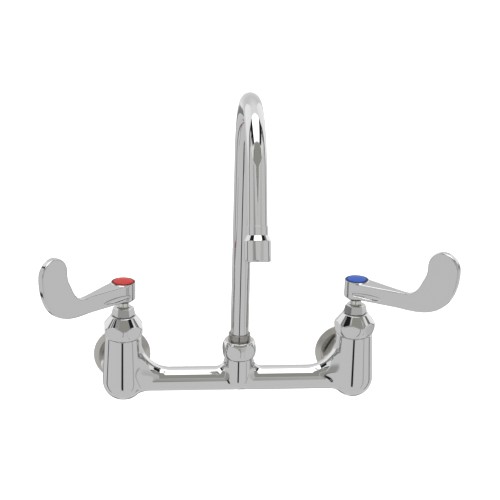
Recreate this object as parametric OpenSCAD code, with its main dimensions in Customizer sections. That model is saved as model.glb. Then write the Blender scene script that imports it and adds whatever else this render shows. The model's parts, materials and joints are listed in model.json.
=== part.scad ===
// Wall-mounted gooseneck faucet on 8 inch centres, with two quarter-turn wrist-blade valves.
// All sizes are in millimetres. The origin is on the wall, halfway between the two supply pipes.
// X runs to the right, the faucet stands out from the wall along -Y, and Z is up.

/* [Installation] */
// Distance between the two supply axes
centres = 203.2; // [195:0.1:215]
// Distance from the wall to the valve axes
wall_offset = 57; // [54:0.5:70]

/* [Cross tube and boss] */
// Outside diameter of the cross tube
cross_d = 21.5; // [19:0.1:24]
// Waterway diameter inside the cross tube
cross_bore = 12; // [9:0.1:13]
// Diameter of the spout boss
boss_d = 26.6; // [25.6:0.1:28]
// Height of the boss shoulder above the cross tube axis
boss_top = 21; // [19:0.1:24]
// Height of the threaded nose above the boss shoulder
nose_h = 9; // [7:0.1:11]
// Diameter of the threaded nose
nose_d = 22.8; // [21.5:0.1:23.2]

/* [Valve housings] */
// Height of the housing rim above the cross tube axis
housing_top = 42; // [40:0.1:46]
// Diameter of the housing at its rim
housing_rim_d = 31.8; // [30:0.1:34]
// Diameter of the housing at the cross tube and of its round bottom
housing_d = 36.4; // [35:0.1:40]
// Diameter of the threaded valve bore
valve_bore = 26; // [25:0.1:26.6]
// Height of the valve seat above the cross tube axis
seat_z = 8; // [7.5:0.1:9]
// Diameter of the port in the valve seat
seat_port = 10; // [7:0.1:12]
// Radius of the large fillet from the housing down to the cross tube
crest_fillet = 24; // [18:0.5:26]
// Radius of the side and bottom fillets between housing and cross tube
side_fillet = 11; // [7:0.5:14]
// Radius of the fillets between boss and cross tube
boss_fillet = 6; // [4:0.5:8]

/* [Bonnet nuts] */
// Diameter of the ball that rounds the hexagon
bonnet_ball_d = 36; // [34.6:0.1:38]
// Width across the flats
bonnet_flats = 32.8; // [31.5:0.1:34.4]
// Height of the nut above the housing rim
bonnet_h = 19.2; // [18.8:0.1:21]
// Diameter of the nut's top face
bonnet_top_d = 21.8; // [21:0.1:24]
// Length of the threaded skirt inside the housing
bonnet_skirt = 12; // [11:0.1:13]

/* [Packing nuts] */
// Width across the flats at the foot
packing_flats = 18.2; // [16.5:0.1:19]
// Width across the flats at the top
packing_top_flats = 15.8; // [14.5:0.1:16.2]
// Height of the hexagon
packing_h = 6.8; // [5:0.1:7.5]
// Diameter of the packing chamber thread
packing_thread_d = 14; // [13:0.1:14.6]

/* [Cartridges] */
// Diameter of the valve stem
stem_d = 9.6; // [8.6:0.1:10]
// Diameter of the ceramic discs
disc_d = 16.8; // [16:0.1:17]
// Thickness of one ceramic disc
disc_t = 3; // [2.5:0.1:3.2]
// Outside diameter of the cartridge sleeve
sleeve_d = 20.4; // [20:0.1:21]
// Thickness of the rubber seat seal
seal_t = 2; // [1.5:0.1:2.5]

/* [Handles] */
// Diameter of the handle hub
hub_d = 21; // [20:0.1:23]
// Height of the underside of the hub above the cross tube axis
hub_z = 73.8; // [73.4:0.1:76]
// Height of the hub
hub_h = 18.5; // [18.2:0.1:20]
// Distance from the valve axis to the start of the upward bend
arm_len = 48.4; // [42:0.1:60]
// Height of the arm from its lower to its upper edge
arm_h = 14.8; // [12:0.1:15.4]
// Height of the middle of the arm above the underside of the hub
arm_mid = 10.4; // [9.8:0.1:10.6]
// Radius of the bend along the middle of the blade
blade_bend = 35.8; // [30:0.1:42]
// Width of the upturned blade
blade_w = 28.9; // [24:0.1:32]
// Length of the straight part of the upturned blade
blade_rise = 1.7; // [1:0.1:20]
// Thickness of the blade
blade_t = 6; // [5:0.1:8]
// Radius of the rounded blade edges
blade_edge = 1.4; // [0.8:0.1:2]
// How far the hot handle is swung forward at rest, in degrees
swing_hot = 46; // [20:1:60]
// How far the cold handle is swung forward at rest, in degrees
swing_cold = 40; // [20:1:60]

/* [Index buttons] */
// Diameter of the coloured button
button_d = 19.6; // [18.6:0.1:19.8]
// Height of the button's dome above its rim
button_dome = 1.4; // [0.8:0.1:2]

/* [Swivel nut] */
// Diameter of the ball that rounds the hexagon
swivel_ball_d = 30.4; // [29.5:0.1:32]
// Width across the flats
swivel_flats = 27.9; // [27:0.1:29]
// Height of the nut
swivel_h = 15.4; // [15:0.1:17]

/* [Gooseneck] */
// Outside diameter of the spout tube
spout_d = 15.875; // [15:0.005:16.4]
// Wall thickness of the spout tube
spout_wall = 1.25; // [1:0.05:1.6]
// Height of the bend's centre above the cross tube axis
bend_z = 209.5; // [180:0.5:240]
// Radius of the bend
bend_r = 54.7; // [45:0.1:70]
// How far the outlet leg leans forward from vertical, in degrees
outlet_tilt = 20.5; // [0:0.5:30]
// Length of the straight outlet leg
outlet_leg = 58.5; // [40:0.5:80]
// Diameter of the collar above the swivel nut
collar_d = 19.3; // [18.8:0.1:20]
// Height of the collar's rim above the cross tube axis
collar_top = 43; // [41:0.1:50]

/* [Outlet] */
// Outside diameter of the outlet cup
cup_d = 20.8; // [20:0.1:24]
// Length of the cylindrical part of the cup
cup_h = 16.6; // [15:0.1:20]
// Length of the cup's conical shoulder
shoulder_h = 4.4; // [3:0.1:8]

/* [Inlets] */
// Diameter of the wall flange
flange_d = 51.6; // [48:0.1:56]
// Thickness of the wall flange at its hub
flange_t = 5; // [3.5:0.1:7]
// Diameter of the female supply thread
inlet_thread_d = 18.6; // [18:0.1:19]
// Depth of the female supply thread
inlet_depth = 15; // [12:0.1:16]
// Width of the coupling nut across its flats
coupling_flats = 34; // [33:0.1:37]
// Diameter of the coupling thread
coupling_thread_d = 26.4; // [26:0.1:27.5]

/* [Fits] */
// Radial clearance of a running fit
running_gap = 0.05; // [0.03:0.01:0.1]
// Radial clearance between threads and other fixed pieces
thread_gap = 0.1; // [0.05:0.01:0.15]

/* [Hidden] */
$fn = 64;
hot = -1;
cold = 1;
cut = 0.5;

cross_r = cross_d / 2;
stem_r = stem_d / 2;
disc_r = disc_d / 2;
sleeve_r = sleeve_d / 2;
hub_r = hub_d / 2;
spout_r = spout_d / 2;

// Levels of the cartridge, from the seat up
fixed_disc_z = seat_z + seal_t;
rotor_disc_z = fixed_disc_z + disc_t + running_gap;
rotor_top = rotor_disc_z + disc_t;
foot_z = rotor_top + 8;
foot_t = 3;
shoulder_z = foot_z + foot_t + running_gap;
shoulder_t = housing_top - bonnet_skirt - shoulder_z;
sleeve_neck_z = shoulder_z + shoulder_t;
stop_z = sleeve_neck_z + 6;
stop_t = 2.4;
sleeve_bore_r = disc_r + running_gap;
stem_bore_r = stem_r + running_gap;
stem_hole_r = stem_r + 0.3;
sleeve_neck_r = 8.6;
skirt_bore_r = 9.2;

// The stop lug travels a quarter turn in the gap of the stop wall
quarter = 90;
lug_half = 20;
stop_slack = 1;

// Levels of the bonnet and packing nuts
bonnet_top = housing_top + bonnet_h;
chamber_z = bonnet_top - 11;
packing_ring_t = 4;
groove_h = 0.8;
packing_z = bonnet_top + groove_h;
packing_top = packing_z + packing_h;

// Levels inside the handle hub, above its underside
socket_h = 8.4;
web_h = 3.2;
drive_sq = 7;
head_h = 3.6;
head_r = 3.8;
screw_r = 2;
well_r = 6.2;
well_z = socket_h + web_h;
button_seat = hub_h - 2.4;
hub_chamfer = 3.2;
hub_foot_r = hub_r - 4;
screw_len = 5;
screw_play = 0.3;
screw_slot_w = 1;
screw_slot_h = 1.2;

// How the hexagons happen to be turned after tightening, in degrees
bonnet_turn_hot = 28;
bonnet_turn_cold = -15.5;
swivel_turn = 36;

// Spout connection
swivel_z = boss_top + 0.4;
swivel_top = swivel_z + swivel_h;
nose_top = boss_top + nose_h;
roof_t = 3.2;
roof_z = swivel_top - roof_t;
lip_z = nose_top + 0.3;
washer_t = 1;
lip_t = roof_z - washer_t - running_gap - lip_z;
stem_socket_r = 9.2;
plug_r = stem_socket_r - running_gap;
plug_z = 9.4;
spout_waterway_r = 6.4;
tube_foot_z = 24;
collar_r = collar_d / 2;
bend_angle = 180 - outlet_tilt;

// Coupling between the wall flange and the body, measured out from the wall
thread_end = 20;
washer_gap = 2.4;
shank_end = thread_end + washer_gap;
shank_lip_t = 4;
shank_r = 9.6;
shank_bore_r = 5.6;
nut_start = 8.4;
nut_roof_t = 3.6;

// Places a piece on a valve axis; the hot side mirrors the cold side
module on_valve(side) {
    translate([side * centres / 2, -wall_offset, 0])
        mirror([side < 0 ? 1 : 0, 0, 0]) children();
}

// Places a piece that turns with the handle, which points along +X before it is swung
module on_stem(side) {
    on_valve(side) rotate([0, 0, side < 0 ? -swing_hot : -swing_cold]) children();
}

// Places a piece on an inlet axis, with its own +Z pointing out from the wall
module on_inlet(side) {
    translate([side * centres / 2, 0, 0]) rotate([90, 0, 0]) children();
}

// Places a piece on the spout's swivel axis
module on_spout() {
    translate([0, -wall_offset, 0]) children();
}

// Places a piece on the outlet leg, with its own +Z along the flow
module on_outlet() {
    on_spout() translate([0, -bend_r, bend_z]) rotate([bend_angle, 0, 0])
        translate([0, bend_r, 0]) children();
}

module ring(r_out, r_in, h) {
    difference() {
        cylinder(r = r_out, h = h);
        translate([0, 0, -cut]) cylinder(r = r_in, h = h + 2 * cut);
    }
}

module hex_prism(flats, h) {
    cylinder(d = flats / cos(30), h = h, $fn = 6);
}

module sector(r_in, r_out, from, to, h) {
    rotate([0, 0, from]) rotate_extrude(angle = to - from)
        translate([r_in, 0]) square([r_out - r_in, h]);
}

module torus(r_ring, r_wire) {
    rotate_extrude() translate([r_ring, 0]) circle(r = r_wire, $fn = 32);
}

// Faces of a loft through rings of points, each ring with the same number of sides
function loft_faces(rings, sides) = concat(
    [[for (k = [sides - 1 : -1 : 0]) k]],
    [for (i = [0 : rings - 2]) for (k = [0 : sides - 1])
        let (a = i * sides + k, b = i * sides + (k + 1) % sides)
        each [[a, b, a + sides], [b, b + sides, a + sides]]],
    [[for (k = [0 : sides - 1]) (rings - 1) * sides + k]]
);

// Round fillet between the cross tube and an upright post at x = 0, turned about the tube's axis.
// It is worked out for a post a little fatter than the real one, so that it runs well into it.
post_bite = 0.4;

module tube_fillet(post_r, fillet) {
    r = post_r + post_bite;
    reach = sqrt((r + fillet) * (r + fillet) - (cross_r + fillet) * (cross_r + fillet));
    rotate([0, 90, 0]) rotate_extrude() difference() {
        square([(cross_r + fillet) * r / (r + fillet), reach]);
        translate([cross_r + fillet, reach]) circle(r = fillet);
    }
}

// Elbow that carries the top of the cross tube up into a post, as the round crest of the casting.
// It starts a little inside the post and is a touch slimmer than the tube, so that all three join cleanly.
elbow_step = 0.05;
elbow_angle = 80;
elbow_bite = 0.96;

module crest_elbow(post_r, fillet) {
    run_r = cross_r + fillet;
    translate([elbow_bite * post_r + fillet, 0, run_r]) rotate([90, 0, 0])
        rotate([0, 0, 270 - elbow_angle]) rotate_extrude(angle = elbow_angle, $fn = 96)
            translate([run_r, 0]) circle(r = cross_r - elbow_step);
}

// Body: one casting of two valve housings, the cross tube between them and the spout boss
module faucet_body() {
    color("gainsboro") difference() {
        union() {
            for (side = [hot, cold]) on_valve(side) {
                housing_shell();
                mirror([1, 0, 0]) tube_fillet(housing_d / 2, side_fillet);
                mirror([1, 0, 0]) crest_elbow(housing_post_r, crest_fillet);
            }
            for (side = [hot, cold]) on_inlet(side) shank_shell();
            on_spout() {
                boss_shell();
                translate([-centres / 2, 0, 0]) rotate([0, 90, 0]) cylinder(r = cross_r, h = centres);
                for (m = [0, 1]) mirror([m, 0, 0]) {
                    tube_fillet(boss_d / 2, boss_fillet);
                    crest_elbow(boss_d / 2, boss_fillet);
                }
            }
        }
        for (side = [hot, cold]) {
            on_valve(side) housing_waterways();
            on_inlet(side) translate([0, 0, shank_end - cut])
                cylinder(r = shank_bore_r, h = wall_offset - shank_end + cut);
        }
        on_spout() boss_waterways();
    }
}

housing_post_r = housing_rim_d / 2 + 0.7;
rim_lip = 0.6;

module housing_shell() {
    sphere(d = housing_d, $fn = 96);
    cylinder(d1 = housing_d, d2 = housing_rim_d, h = housing_top - rim_lip);
    translate([0, 0, housing_top - rim_lip])
        cylinder(d1 = housing_rim_d, d2 = housing_rim_d - 2 * rim_lip, h = rim_lip);
}

module boss_shell() {
    taper = 0.5;
    ball_lift = 0.15;
    ball_z = boss_d / 2 - cross_r + ball_lift;
    translate([0, 0, ball_z]) sphere(d = boss_d, $fn = 96);
    translate([0, 0, ball_z]) cylinder(d1 = boss_d, d2 = boss_d - 2 * taper, h = boss_top - ball_z);
    cylinder(d = nose_d, h = nose_top);
}

module shank_shell() {
    translate([0, 0, shank_end]) cylinder(r = shank_r, h = wall_offset - shank_end);
    translate([0, 0, shank_end]) cylinder(r = coupling_thread_d / 2 - thread_gap, h = shank_lip_t);
}

inlet_chamber_r = 7.4;
inlet_chamber_low = 9;
floor_t = 2;
waterway_r = 5;

// Where the cross tube's waterway ends, measured from the valve axis
bore_end = 18;

// The slanting waterway starts beside the cartridge and runs down into the cross tube's waterway
waterway_rise = 8;
waterway_inset = 3;
waterway_overrun = 6;

module housing_waterways() {
    translate([0, 0, seat_z]) cylinder(d = valve_bore, h = housing_top);
    translate([0, 0, seat_z - floor_t - cut]) cylinder(d = seat_port, h = floor_t + 2 * cut);
    translate([0, 0, -inlet_chamber_low])
        cylinder(r = inlet_chamber_r, h = inlet_chamber_low + seat_z - floor_t);
    high = [waterway_inset - valve_bore / 2, 0, seat_z + waterway_rise];
    low = [-bore_end - waterway_overrun, 0, 0];
    run = low - high;
    translate(high) rotate([0, -atan2(-run.x, run.z), 0]) cylinder(r = waterway_r, h = norm(run));
}

module boss_waterways() {
    translate([0, 0, plug_z - thread_gap]) cylinder(r = stem_socket_r, h = nose_top);
    cylinder(r = spout_waterway_r, h = plug_z);
    translate([bore_end - centres / 2, 0, 0]) rotate([0, 90, 0])
        cylinder(d = cross_bore, h = centres - 2 * bore_end);
}

// Wall flange with its female supply thread and the male thread for the coupling nut
module wall_flange(side) {
    edge = 1.6;
    color("silver") on_inlet(side) difference() {
        union() {
            cylinder(d = flange_d, h = edge);
            translate([0, 0, edge]) cylinder(d1 = flange_d, d2 = flange_d - 9, h = flange_t - edge);
            cylinder(r = coupling_thread_d / 2 - thread_gap, h = thread_end);
        }
        translate([0, 0, -cut]) cylinder(d = inlet_thread_d, h = inlet_depth + cut);
        cylinder(r = shank_bore_r, h = thread_end + cut);
    }
}

module coupling_washer(side) {
    color("dimgray") on_inlet(side) translate([0, 0, thread_end])
        ring(coupling_thread_d / 2 - 2 * thread_gap, shank_bore_r + 1, washer_gap);
}

module coupling_nut(side) {
    roof_z = shank_end + shank_lip_t;
    h = roof_z + nut_roof_t - nut_start;
    face_r = coupling_flats / 2 + 0.4;
    wide_r = face_r + 2 * h;
    color("silver") on_inlet(side) difference() {
        translate([0, 0, nut_start]) intersection() {
            hex_prism(coupling_flats, h);
            cylinder(r1 = face_r, r2 = wide_r, h = h);
            cylinder(r1 = wide_r, r2 = face_r, h = h);
        }
        translate([0, 0, nut_start - cut]) cylinder(d = coupling_thread_d, h = roof_z - nut_start + cut);
        cylinder(r = shank_r + thread_gap, h = wall_offset);
    }
}

// Cartridge: seat seal, two ceramic discs, sleeve and stem
module seat_seal(side) {
    color("dimgray") on_valve(side) translate([0, 0, seat_z])
        ring(sleeve_r, seat_port / 2 + 0.5, seal_t);
}

port_half = 38;
port_in = 2.2;
port_out = 6.2;
leg_half = 13;
leg_r = port_out - 0.2;

module fixed_disc(side) {
    color("ivory") on_valve(side) translate([0, 0, fixed_disc_z]) difference() {
        cylinder(r = disc_r, h = disc_t);
        for (a = [0, 180]) translate([0, 0, -cut])
            sector(port_in, port_out, a - port_half, a + port_half, disc_t + 2 * cut);
    }
}

module rotor_disc(side) {
    color("ivory") on_stem(side) translate([0, 0, rotor_disc_z]) difference() {
        cylinder(r = disc_r, h = disc_t);
        for (a = [90, 270]) translate([0, 0, -cut])
            sector(port_in, port_out, a - port_half, a + port_half, disc_t + 2 * cut);
        for (a = [0, 180]) translate([0, 0, disc_t - 1])
            sector(leg_r, disc_r + cut, a - leg_half - 1, a + leg_half + 1, 1 + cut);
    }
}

module cartridge_sleeve(side) {
    window_z = rotor_top + 0.6;
    color("goldenrod") on_valve(side) {
        difference() {
            union() {
                translate([0, 0, fixed_disc_z]) cylinder(r = sleeve_r, h = sleeve_neck_z - fixed_disc_z);
                translate([0, 0, shoulder_z]) cylinder(r = valve_bore / 2 - thread_gap, h = shoulder_t);
                translate([0, 0, shoulder_z]) cylinder(r = sleeve_neck_r, h = stop_z - shoulder_z);
            }
            translate([0, 0, fixed_disc_z - cut])
                cylinder(r = sleeve_bore_r, h = shoulder_z - fixed_disc_z + cut);
            cylinder(r = stem_bore_r, h = stop_z + cut);
            for (a = [0, 180]) translate([0, 0, window_z])
                sector(sleeve_bore_r - 1, sleeve_r + 1, a - 50, a + 50, foot_z - window_z);
        }
        translate([0, 0, stop_z - cut]) sector(
            sleeve_neck_r - 1.7,
            sleeve_neck_r - thread_gap,
            180 + lug_half + stop_slack,
            540 - quarter - lug_half - stop_slack,
            stop_t + cut
        );
    }
}

oring_z = 33.2;
oring_wire = 0.8;

module valve_stem(side) {
    stop_r = sleeve_neck_r - 2.1;
    color("goldenrod") on_stem(side) difference() {
        union() {
            for (a = [0, 180]) translate([0, 0, rotor_top - 1])
                sector(leg_r + 0.1, disc_r, a - leg_half, a + leg_half, foot_z - rotor_top + 1 + cut);
            translate([0, 0, foot_z]) cylinder(r = disc_r, h = foot_t);
            translate([0, 0, foot_z]) cylinder(r = stem_r, h = hub_z - foot_z);
            translate([0, 0, stop_z + running_gap]) cylinder(r = stop_r, h = stop_t - 2 * running_gap);
            translate([0, 0, stop_z + running_gap]) sector(
                stop_r - 1,
                sleeve_neck_r - 0.1,
                180 - lug_half,
                180 + lug_half,
                stop_t - 2 * running_gap
            );
            translate([-drive_sq / 2, -drive_sq / 2, hub_z - cut]) cube([drive_sq, drive_sq, socket_h]);
        }
        translate([0, 0, oring_z]) ring(stem_r + cut, stem_r - 2 * oring_wire, 2 * oring_wire);
        translate([0, 0, hub_z - screw_len - 1]) cylinder(r = screw_r + running_gap, h = screw_len + hub_h);
    }
}

module stem_oring(side) {
    color("black") on_stem(side) translate([0, 0, oring_z + oring_wire])
        torus(stem_r - oring_wire, oring_wire);
}

// Bonnet nut: a ball-cornered hexagon that screws into the housing and holds the cartridge down
module bonnet_nut(side) {
    turn = side < 0 ? bonnet_turn_hot : bonnet_turn_cold;
    ball_share = 0.46;
    cone_slope = 0.78;
    top_r = bonnet_top_d / 2;
    skirt_z = housing_top - bonnet_skirt;
    color("lightgray") on_valve(side) difference() {
        union() {
            translate([0, 0, housing_top]) intersection() {
                translate([0, 0, ball_share * bonnet_h]) sphere(d = bonnet_ball_d, $fn = 96);
                rotate([0, 0, turn]) hex_prism(bonnet_flats, bonnet_h);
                cylinder(r1 = top_r + cone_slope * bonnet_h, r2 = top_r, h = bonnet_h);
            }
            translate([0, 0, skirt_z]) cylinder(r = valve_bore / 2 - thread_gap, h = bonnet_skirt + cut);
        }
        translate([0, 0, skirt_z - cut]) cylinder(r = skirt_bore_r, h = bonnet_skirt + cut);
        translate([0, 0, housing_top - cut]) cylinder(r = stem_hole_r, h = bonnet_h);
        translate([0, 0, chamber_z]) cylinder(d = packing_thread_d, h = bonnet_top);
    }
}

module packing_ring(side) {
    color("whitesmoke") on_valve(side) translate([0, 0, chamber_z])
        ring(packing_thread_d / 2 - thread_gap, stem_bore_r, packing_ring_t);
}

module packing_nut(side) {
    skirt_z = chamber_z + packing_ring_t;
    skirt_r = packing_thread_d / 2 - thread_gap;
    neck_r = packing_thread_d / 2 + 0.8;
    crown = 0.4;
    rim = 0.6;
    color("lightgray") on_valve(side) difference() {
        union() {
            translate([0, 0, skirt_z]) cylinder(r = skirt_r, h = bonnet_top - skirt_z);
            translate([0, 0, bonnet_top]) cylinder(r = neck_r, h = groove_h + cut);
            hull() {
                translate([0, 0, packing_z]) hex_prism(packing_flats, crown);
                translate([0, 0, packing_top - crown]) hex_prism(packing_top_flats, crown);
            }
        }
        cylinder(r = stem_hole_r, h = packing_top + cut);
        translate([0, 0, packing_top - rim])
            cylinder(r1 = stem_hole_r, r2 = stem_hole_r + 2 * rim, h = 2 * rim);
    }
}

// Handle: a hub and a wrist blade that runs out, bends up and ends round
blade_sides = 20;

// One rounded rectangle across the blade: w and t are half its width and half its thickness
function blade_section(x, z, lean, w, t) =
    let (r = min(blade_edge, 0.6 * w, 0.9 * t), quads = blade_sides / 4)
    [for (k = [0 : blade_sides - 1])
        let (
            q = floor(k / quads),
            a = 90 * q + 90 * (k % quads) / (quads - 1),
            u = ((q == 0 || q == 3) ? w - r : r - w) + r * cos(a),
            v = (q < 2 ? t - r : r - t) + r * sin(a)
        )
        [x - u * sin(lean), v, z + u * cos(lean)]
    ];

function ease(t) = (1 - cos(180 * min(max(t, 0), 1))) / 2;

// Half the blade's thickness: nearly as wide as the hub on the axis, thin from the end of the taper on
taper_len = 0.92 * arm_len;
taper_drop = hub_r - 0.6 - blade_t / 2;
function arm_half(x) = blade_t / 2 + max(0, 1 - x / taper_len) * taper_drop;

module blade() {
    arm_steps = 6;
    bend_steps = 14;
    widened = 61;
    half = blade_w / 2;
    tip_x = arm_len + blade_bend;
    tip_z = arm_mid + blade_bend + blade_rise;
    stations = concat(
        [for (i = [0 : arm_steps])
            let (x = arm_len * i / arm_steps)
            blade_section(x, arm_mid, 0, arm_h / 2, arm_half(x))],
        [for (i = [1 : bend_steps])
            let (
                a = 90 * i / bend_steps,
                w = arm_h / 2 + (half - arm_h / 2) * ease(a / widened)
            )
            blade_section(
                arm_len + blade_bend * sin(a),
                arm_mid + blade_bend * (1 - cos(a)),
                a,
                w,
                blade_t / 2
            )],
        [for (f = [0, 15, 30, 42, 53, 63, 72, 79, 85])
            let (
                rise = half * sin(f),
                edge = min(half - rise, blade_edge),
                thin = blade_edge - sqrt(blade_edge * blade_edge - (blade_edge - edge) * (blade_edge - edge))
            )
            blade_section(tip_x, tip_z + rise, 90, half * cos(f), blade_t / 2 - thin)]
    );
    points = [for (s = stations) each s];
    polyhedron(points, loft_faces(len(stations), blade_sides), convexity = 6);
}

// Slender scoop in the flank of the arm beside the hub
module flank_scoop() {
    half_len = 14;
    mouth_half = 12;
    deep = 0.9;
    round_r = 2.8;
    at_x = 16;
    at_z = 7.6;
    slant = atan(taper_drop / taper_len);
    profile = [
        for (x = [-half_len : half_len / 5 : half_len])
        [round_r - deep * x * x / (mouth_half * mouth_half), x]
    ];
    translate([at_x, -arm_half(at_x) - round_r + deep, at_z]) rotate([0, 90, slant])
        rotate_extrude($fn = 32) polygon(concat([[0, -half_len]], profile, [[0, half_len]]));
}

module handle(side) {
    color("lightgray") on_stem(side) translate([0, 0, hub_z]) difference() {
        union() {
            translate([0, 0, hub_chamfer]) cylinder(r = hub_r, h = hub_h - hub_chamfer);
            cylinder(r1 = hub_foot_r, r2 = hub_r, h = hub_chamfer);
            blade();
        }
        for (m = [0, 1]) mirror([0, m, 0]) flank_scoop();
        translate([-drive_sq / 2 - thread_gap, -drive_sq / 2 - thread_gap, -cut])
            cube([drive_sq + 2 * thread_gap, drive_sq + 2 * thread_gap, socket_h + cut]);
        cylinder(r = screw_r + screw_play, h = hub_h);
        translate([0, 0, well_z]) cylinder(r = well_r, h = hub_h);
        translate([0, 0, button_seat]) cylinder(d = button_d + 2 * thread_gap, h = hub_h);
    }
}

module handle_screw(side) {
    color("silver") on_stem(side) translate([0, 0, hub_z]) difference() {
        union() {
            translate([0, 0, -screw_len]) cylinder(r = screw_r, h = well_z + screw_len + cut);
            translate([0, 0, well_z]) cylinder(r = head_r, h = head_h);
        }
        translate([-head_r, -screw_slot_w / 2, well_z + head_h - screw_slot_h])
            cube([2 * head_r, screw_slot_w, screw_slot_h + cut]);
    }
}

module index_button(side) {
    paint = side < 0 ? "tomato" : "royalblue";
    stand_proud = 0.1;
    spigot_h = 3;
    rim = hub_h - button_seat + stand_proud;
    cap_r = (button_d * button_d / 4 + button_dome * button_dome) / (2 * button_dome);
    color(paint) on_stem(side) translate([0, 0, hub_z + button_seat]) {
        cylinder(d = button_d, h = rim);
        intersection() {
            translate([0, 0, rim + button_dome - cap_r]) sphere(r = cap_r, $fn = 128);
            cylinder(d = button_d, h = rim + 2 * button_dome);
        }
        translate([0, 0, -spigot_h]) ring(well_r - thread_gap, head_r + 1, spigot_h);
    }
}

// Spout: gooseneck tube, its collar in the boss, and the outlet
module swivel_nut() {
    ball_share = 0.45;
    thread_r = nose_d / 2 + thread_gap;
    color("lightgray") on_spout() difference() {
        translate([0, 0, swivel_z]) intersection() {
            translate([0, 0, ball_share * swivel_h]) sphere(d = swivel_ball_d, $fn = 96);
            rotate([0, 0, swivel_turn]) hex_prism(swivel_flats, swivel_h);
        }
        translate([0, 0, swivel_z - cut]) cylinder(r = thread_r, h = roof_z - swivel_z + cut);
        cylinder(r = collar_r + running_gap, h = swivel_top + cut);
    }
}

module swivel_washer() {
    color("whitesmoke") on_spout() translate([0, 0, roof_z - washer_t])
        ring(nose_d / 2, collar_r + running_gap, washer_t);
}

spout_oring_wire = 1;
spout_oring_z = [12.6, 17.4];

module spout_collar() {
    color("lightgray") on_spout() difference() {
        union() {
            translate([0, 0, plug_z]) cylinder(r = plug_r, h = collar_top - plug_z);
            translate([0, 0, lip_z]) cylinder(r = nose_d / 2 - 0.1, h = lip_t);
            translate([0, 0, lip_z]) cylinder(r = collar_r, h = collar_top - lip_z);
        }
        cylinder(r = spout_waterway_r, h = collar_top);
        translate([0, 0, tube_foot_z]) cylinder(r = spout_r, h = collar_top);
        for (z = spout_oring_z) translate([0, 0, z - spout_oring_wire])
            ring(plug_r + cut, plug_r - 2 * spout_oring_wire, 2 * spout_oring_wire);
    }
}

module spout_orings() {
    color("black") on_spout() for (z = spout_oring_z) translate([0, 0, z])
        torus(plug_r - spout_oring_wire, spout_oring_wire);
}

// The leg starts a little inside the bend and is drawn a touch slimmer, so that the two join cleanly
leg_overlap = 1;
leg_step = 0.02;

// The tube's three stretches at radius r: riser, bend and outlet leg
module gooseneck_run(r, extra) {
    on_spout() translate([0, 0, tube_foot_z - extra]) cylinder(r = r, h = bend_z - tube_foot_z + extra);
    on_spout() translate([0, -bend_r, bend_z]) rotate([90, 0, 90])
        rotate_extrude(angle = bend_angle, $fn = 96) translate([bend_r, 0]) circle(r = r);
    on_outlet() translate([0, 0, -leg_overlap])
        cylinder(r = r - leg_step, h = leg_overlap + outlet_leg + extra);
}

module gooseneck_tube() {
    color("silver") difference() {
        gooseneck_run(spout_r, 0);
        gooseneck_run(spout_r - spout_wall, cut);
    }
}

// Stack inside the outlet cup, from its inner lip along the flow
cup_lip_t = 1.2;
outlet_washer_t = 1.6;
screen_t = 0.8;
screen_z = cup_lip_t + outlet_washer_t;
straightener_z = screen_z + screen_t;
cup_thread_r = 8.9;
cup_round = 1.6;

module outlet_cup() {
    color("lightgray") on_outlet() translate([0, 0, outlet_leg]) difference() {
        union() {
            translate([0, 0, -shoulder_h])
                cylinder(r1 = spout_r + 0.5, r2 = cup_d / 2, h = shoulder_h);
            cylinder(d = cup_d, h = cup_h - cup_round);
            translate([0, 0, cup_h - cup_round]) {
                cylinder(r = cup_d / 2 - cup_round, h = cup_round);
                torus(cup_d / 2 - cup_round, cup_round);
            }
        }
        translate([0, 0, -shoulder_h - cut]) cylinder(r = spout_r, h = shoulder_h + cut);
        translate([0, 0, -cut]) cylinder(r = spout_r - spout_wall, h = cup_h);
        translate([0, 0, cup_lip_t]) cylinder(r = cup_thread_r, h = cup_h);
    }
}

module outlet_washer() {
    color("dimgray") on_outlet() translate([0, 0, outlet_leg + cup_lip_t])
        ring(cup_thread_r - thread_gap, spout_r - spout_wall, outlet_washer_t);
}

module outlet_screen() {
    pitch = 2;
    reach = 6;
    mesh = 1.4;
    color("silver") on_outlet() translate([0, 0, outlet_leg + screen_z]) difference() {
        cylinder(r = cup_thread_r - thread_gap, h = screen_t);
        for (x = [-reach : pitch : reach]) for (y = [-reach : pitch : reach])
            if (norm([x, y]) < reach) translate([x - mesh / 2, y - mesh / 2, -cut])
                cube([mesh, mesh, screen_t + 2 * cut]);
    }
}

module flow_straightener() {
    set_back = 0.6;
    h = cup_h - straightener_z - set_back;
    hole_r = 1.35;
    small_hole_r = 1.08;
    inner_ring_r = 3.4;
    outer_ring_r = 5.44;
    mouth_r = 7;
    mouth_h = 5;
    color("whitesmoke") on_outlet() translate([0, 0, outlet_leg + straightener_z]) difference() {
        cylinder(r = cup_thread_r - thread_gap, h = h);
        translate([0, 0, h - mouth_h]) cylinder(r = mouth_r, h = mouth_h + cut);
        translate([0, 0, -cut]) {
            cylinder(r = hole_r, h = h);
            for (k = [0 : 5]) rotate([0, 0, 60 * k]) {
                translate([inner_ring_r, 0, 0]) cylinder(r = hole_r, h = h);
                rotate([0, 0, 30]) translate([outer_ring_r, 0, 0]) cylinder(r = small_hole_r, h = h);
            }
        }
    }
}

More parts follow.
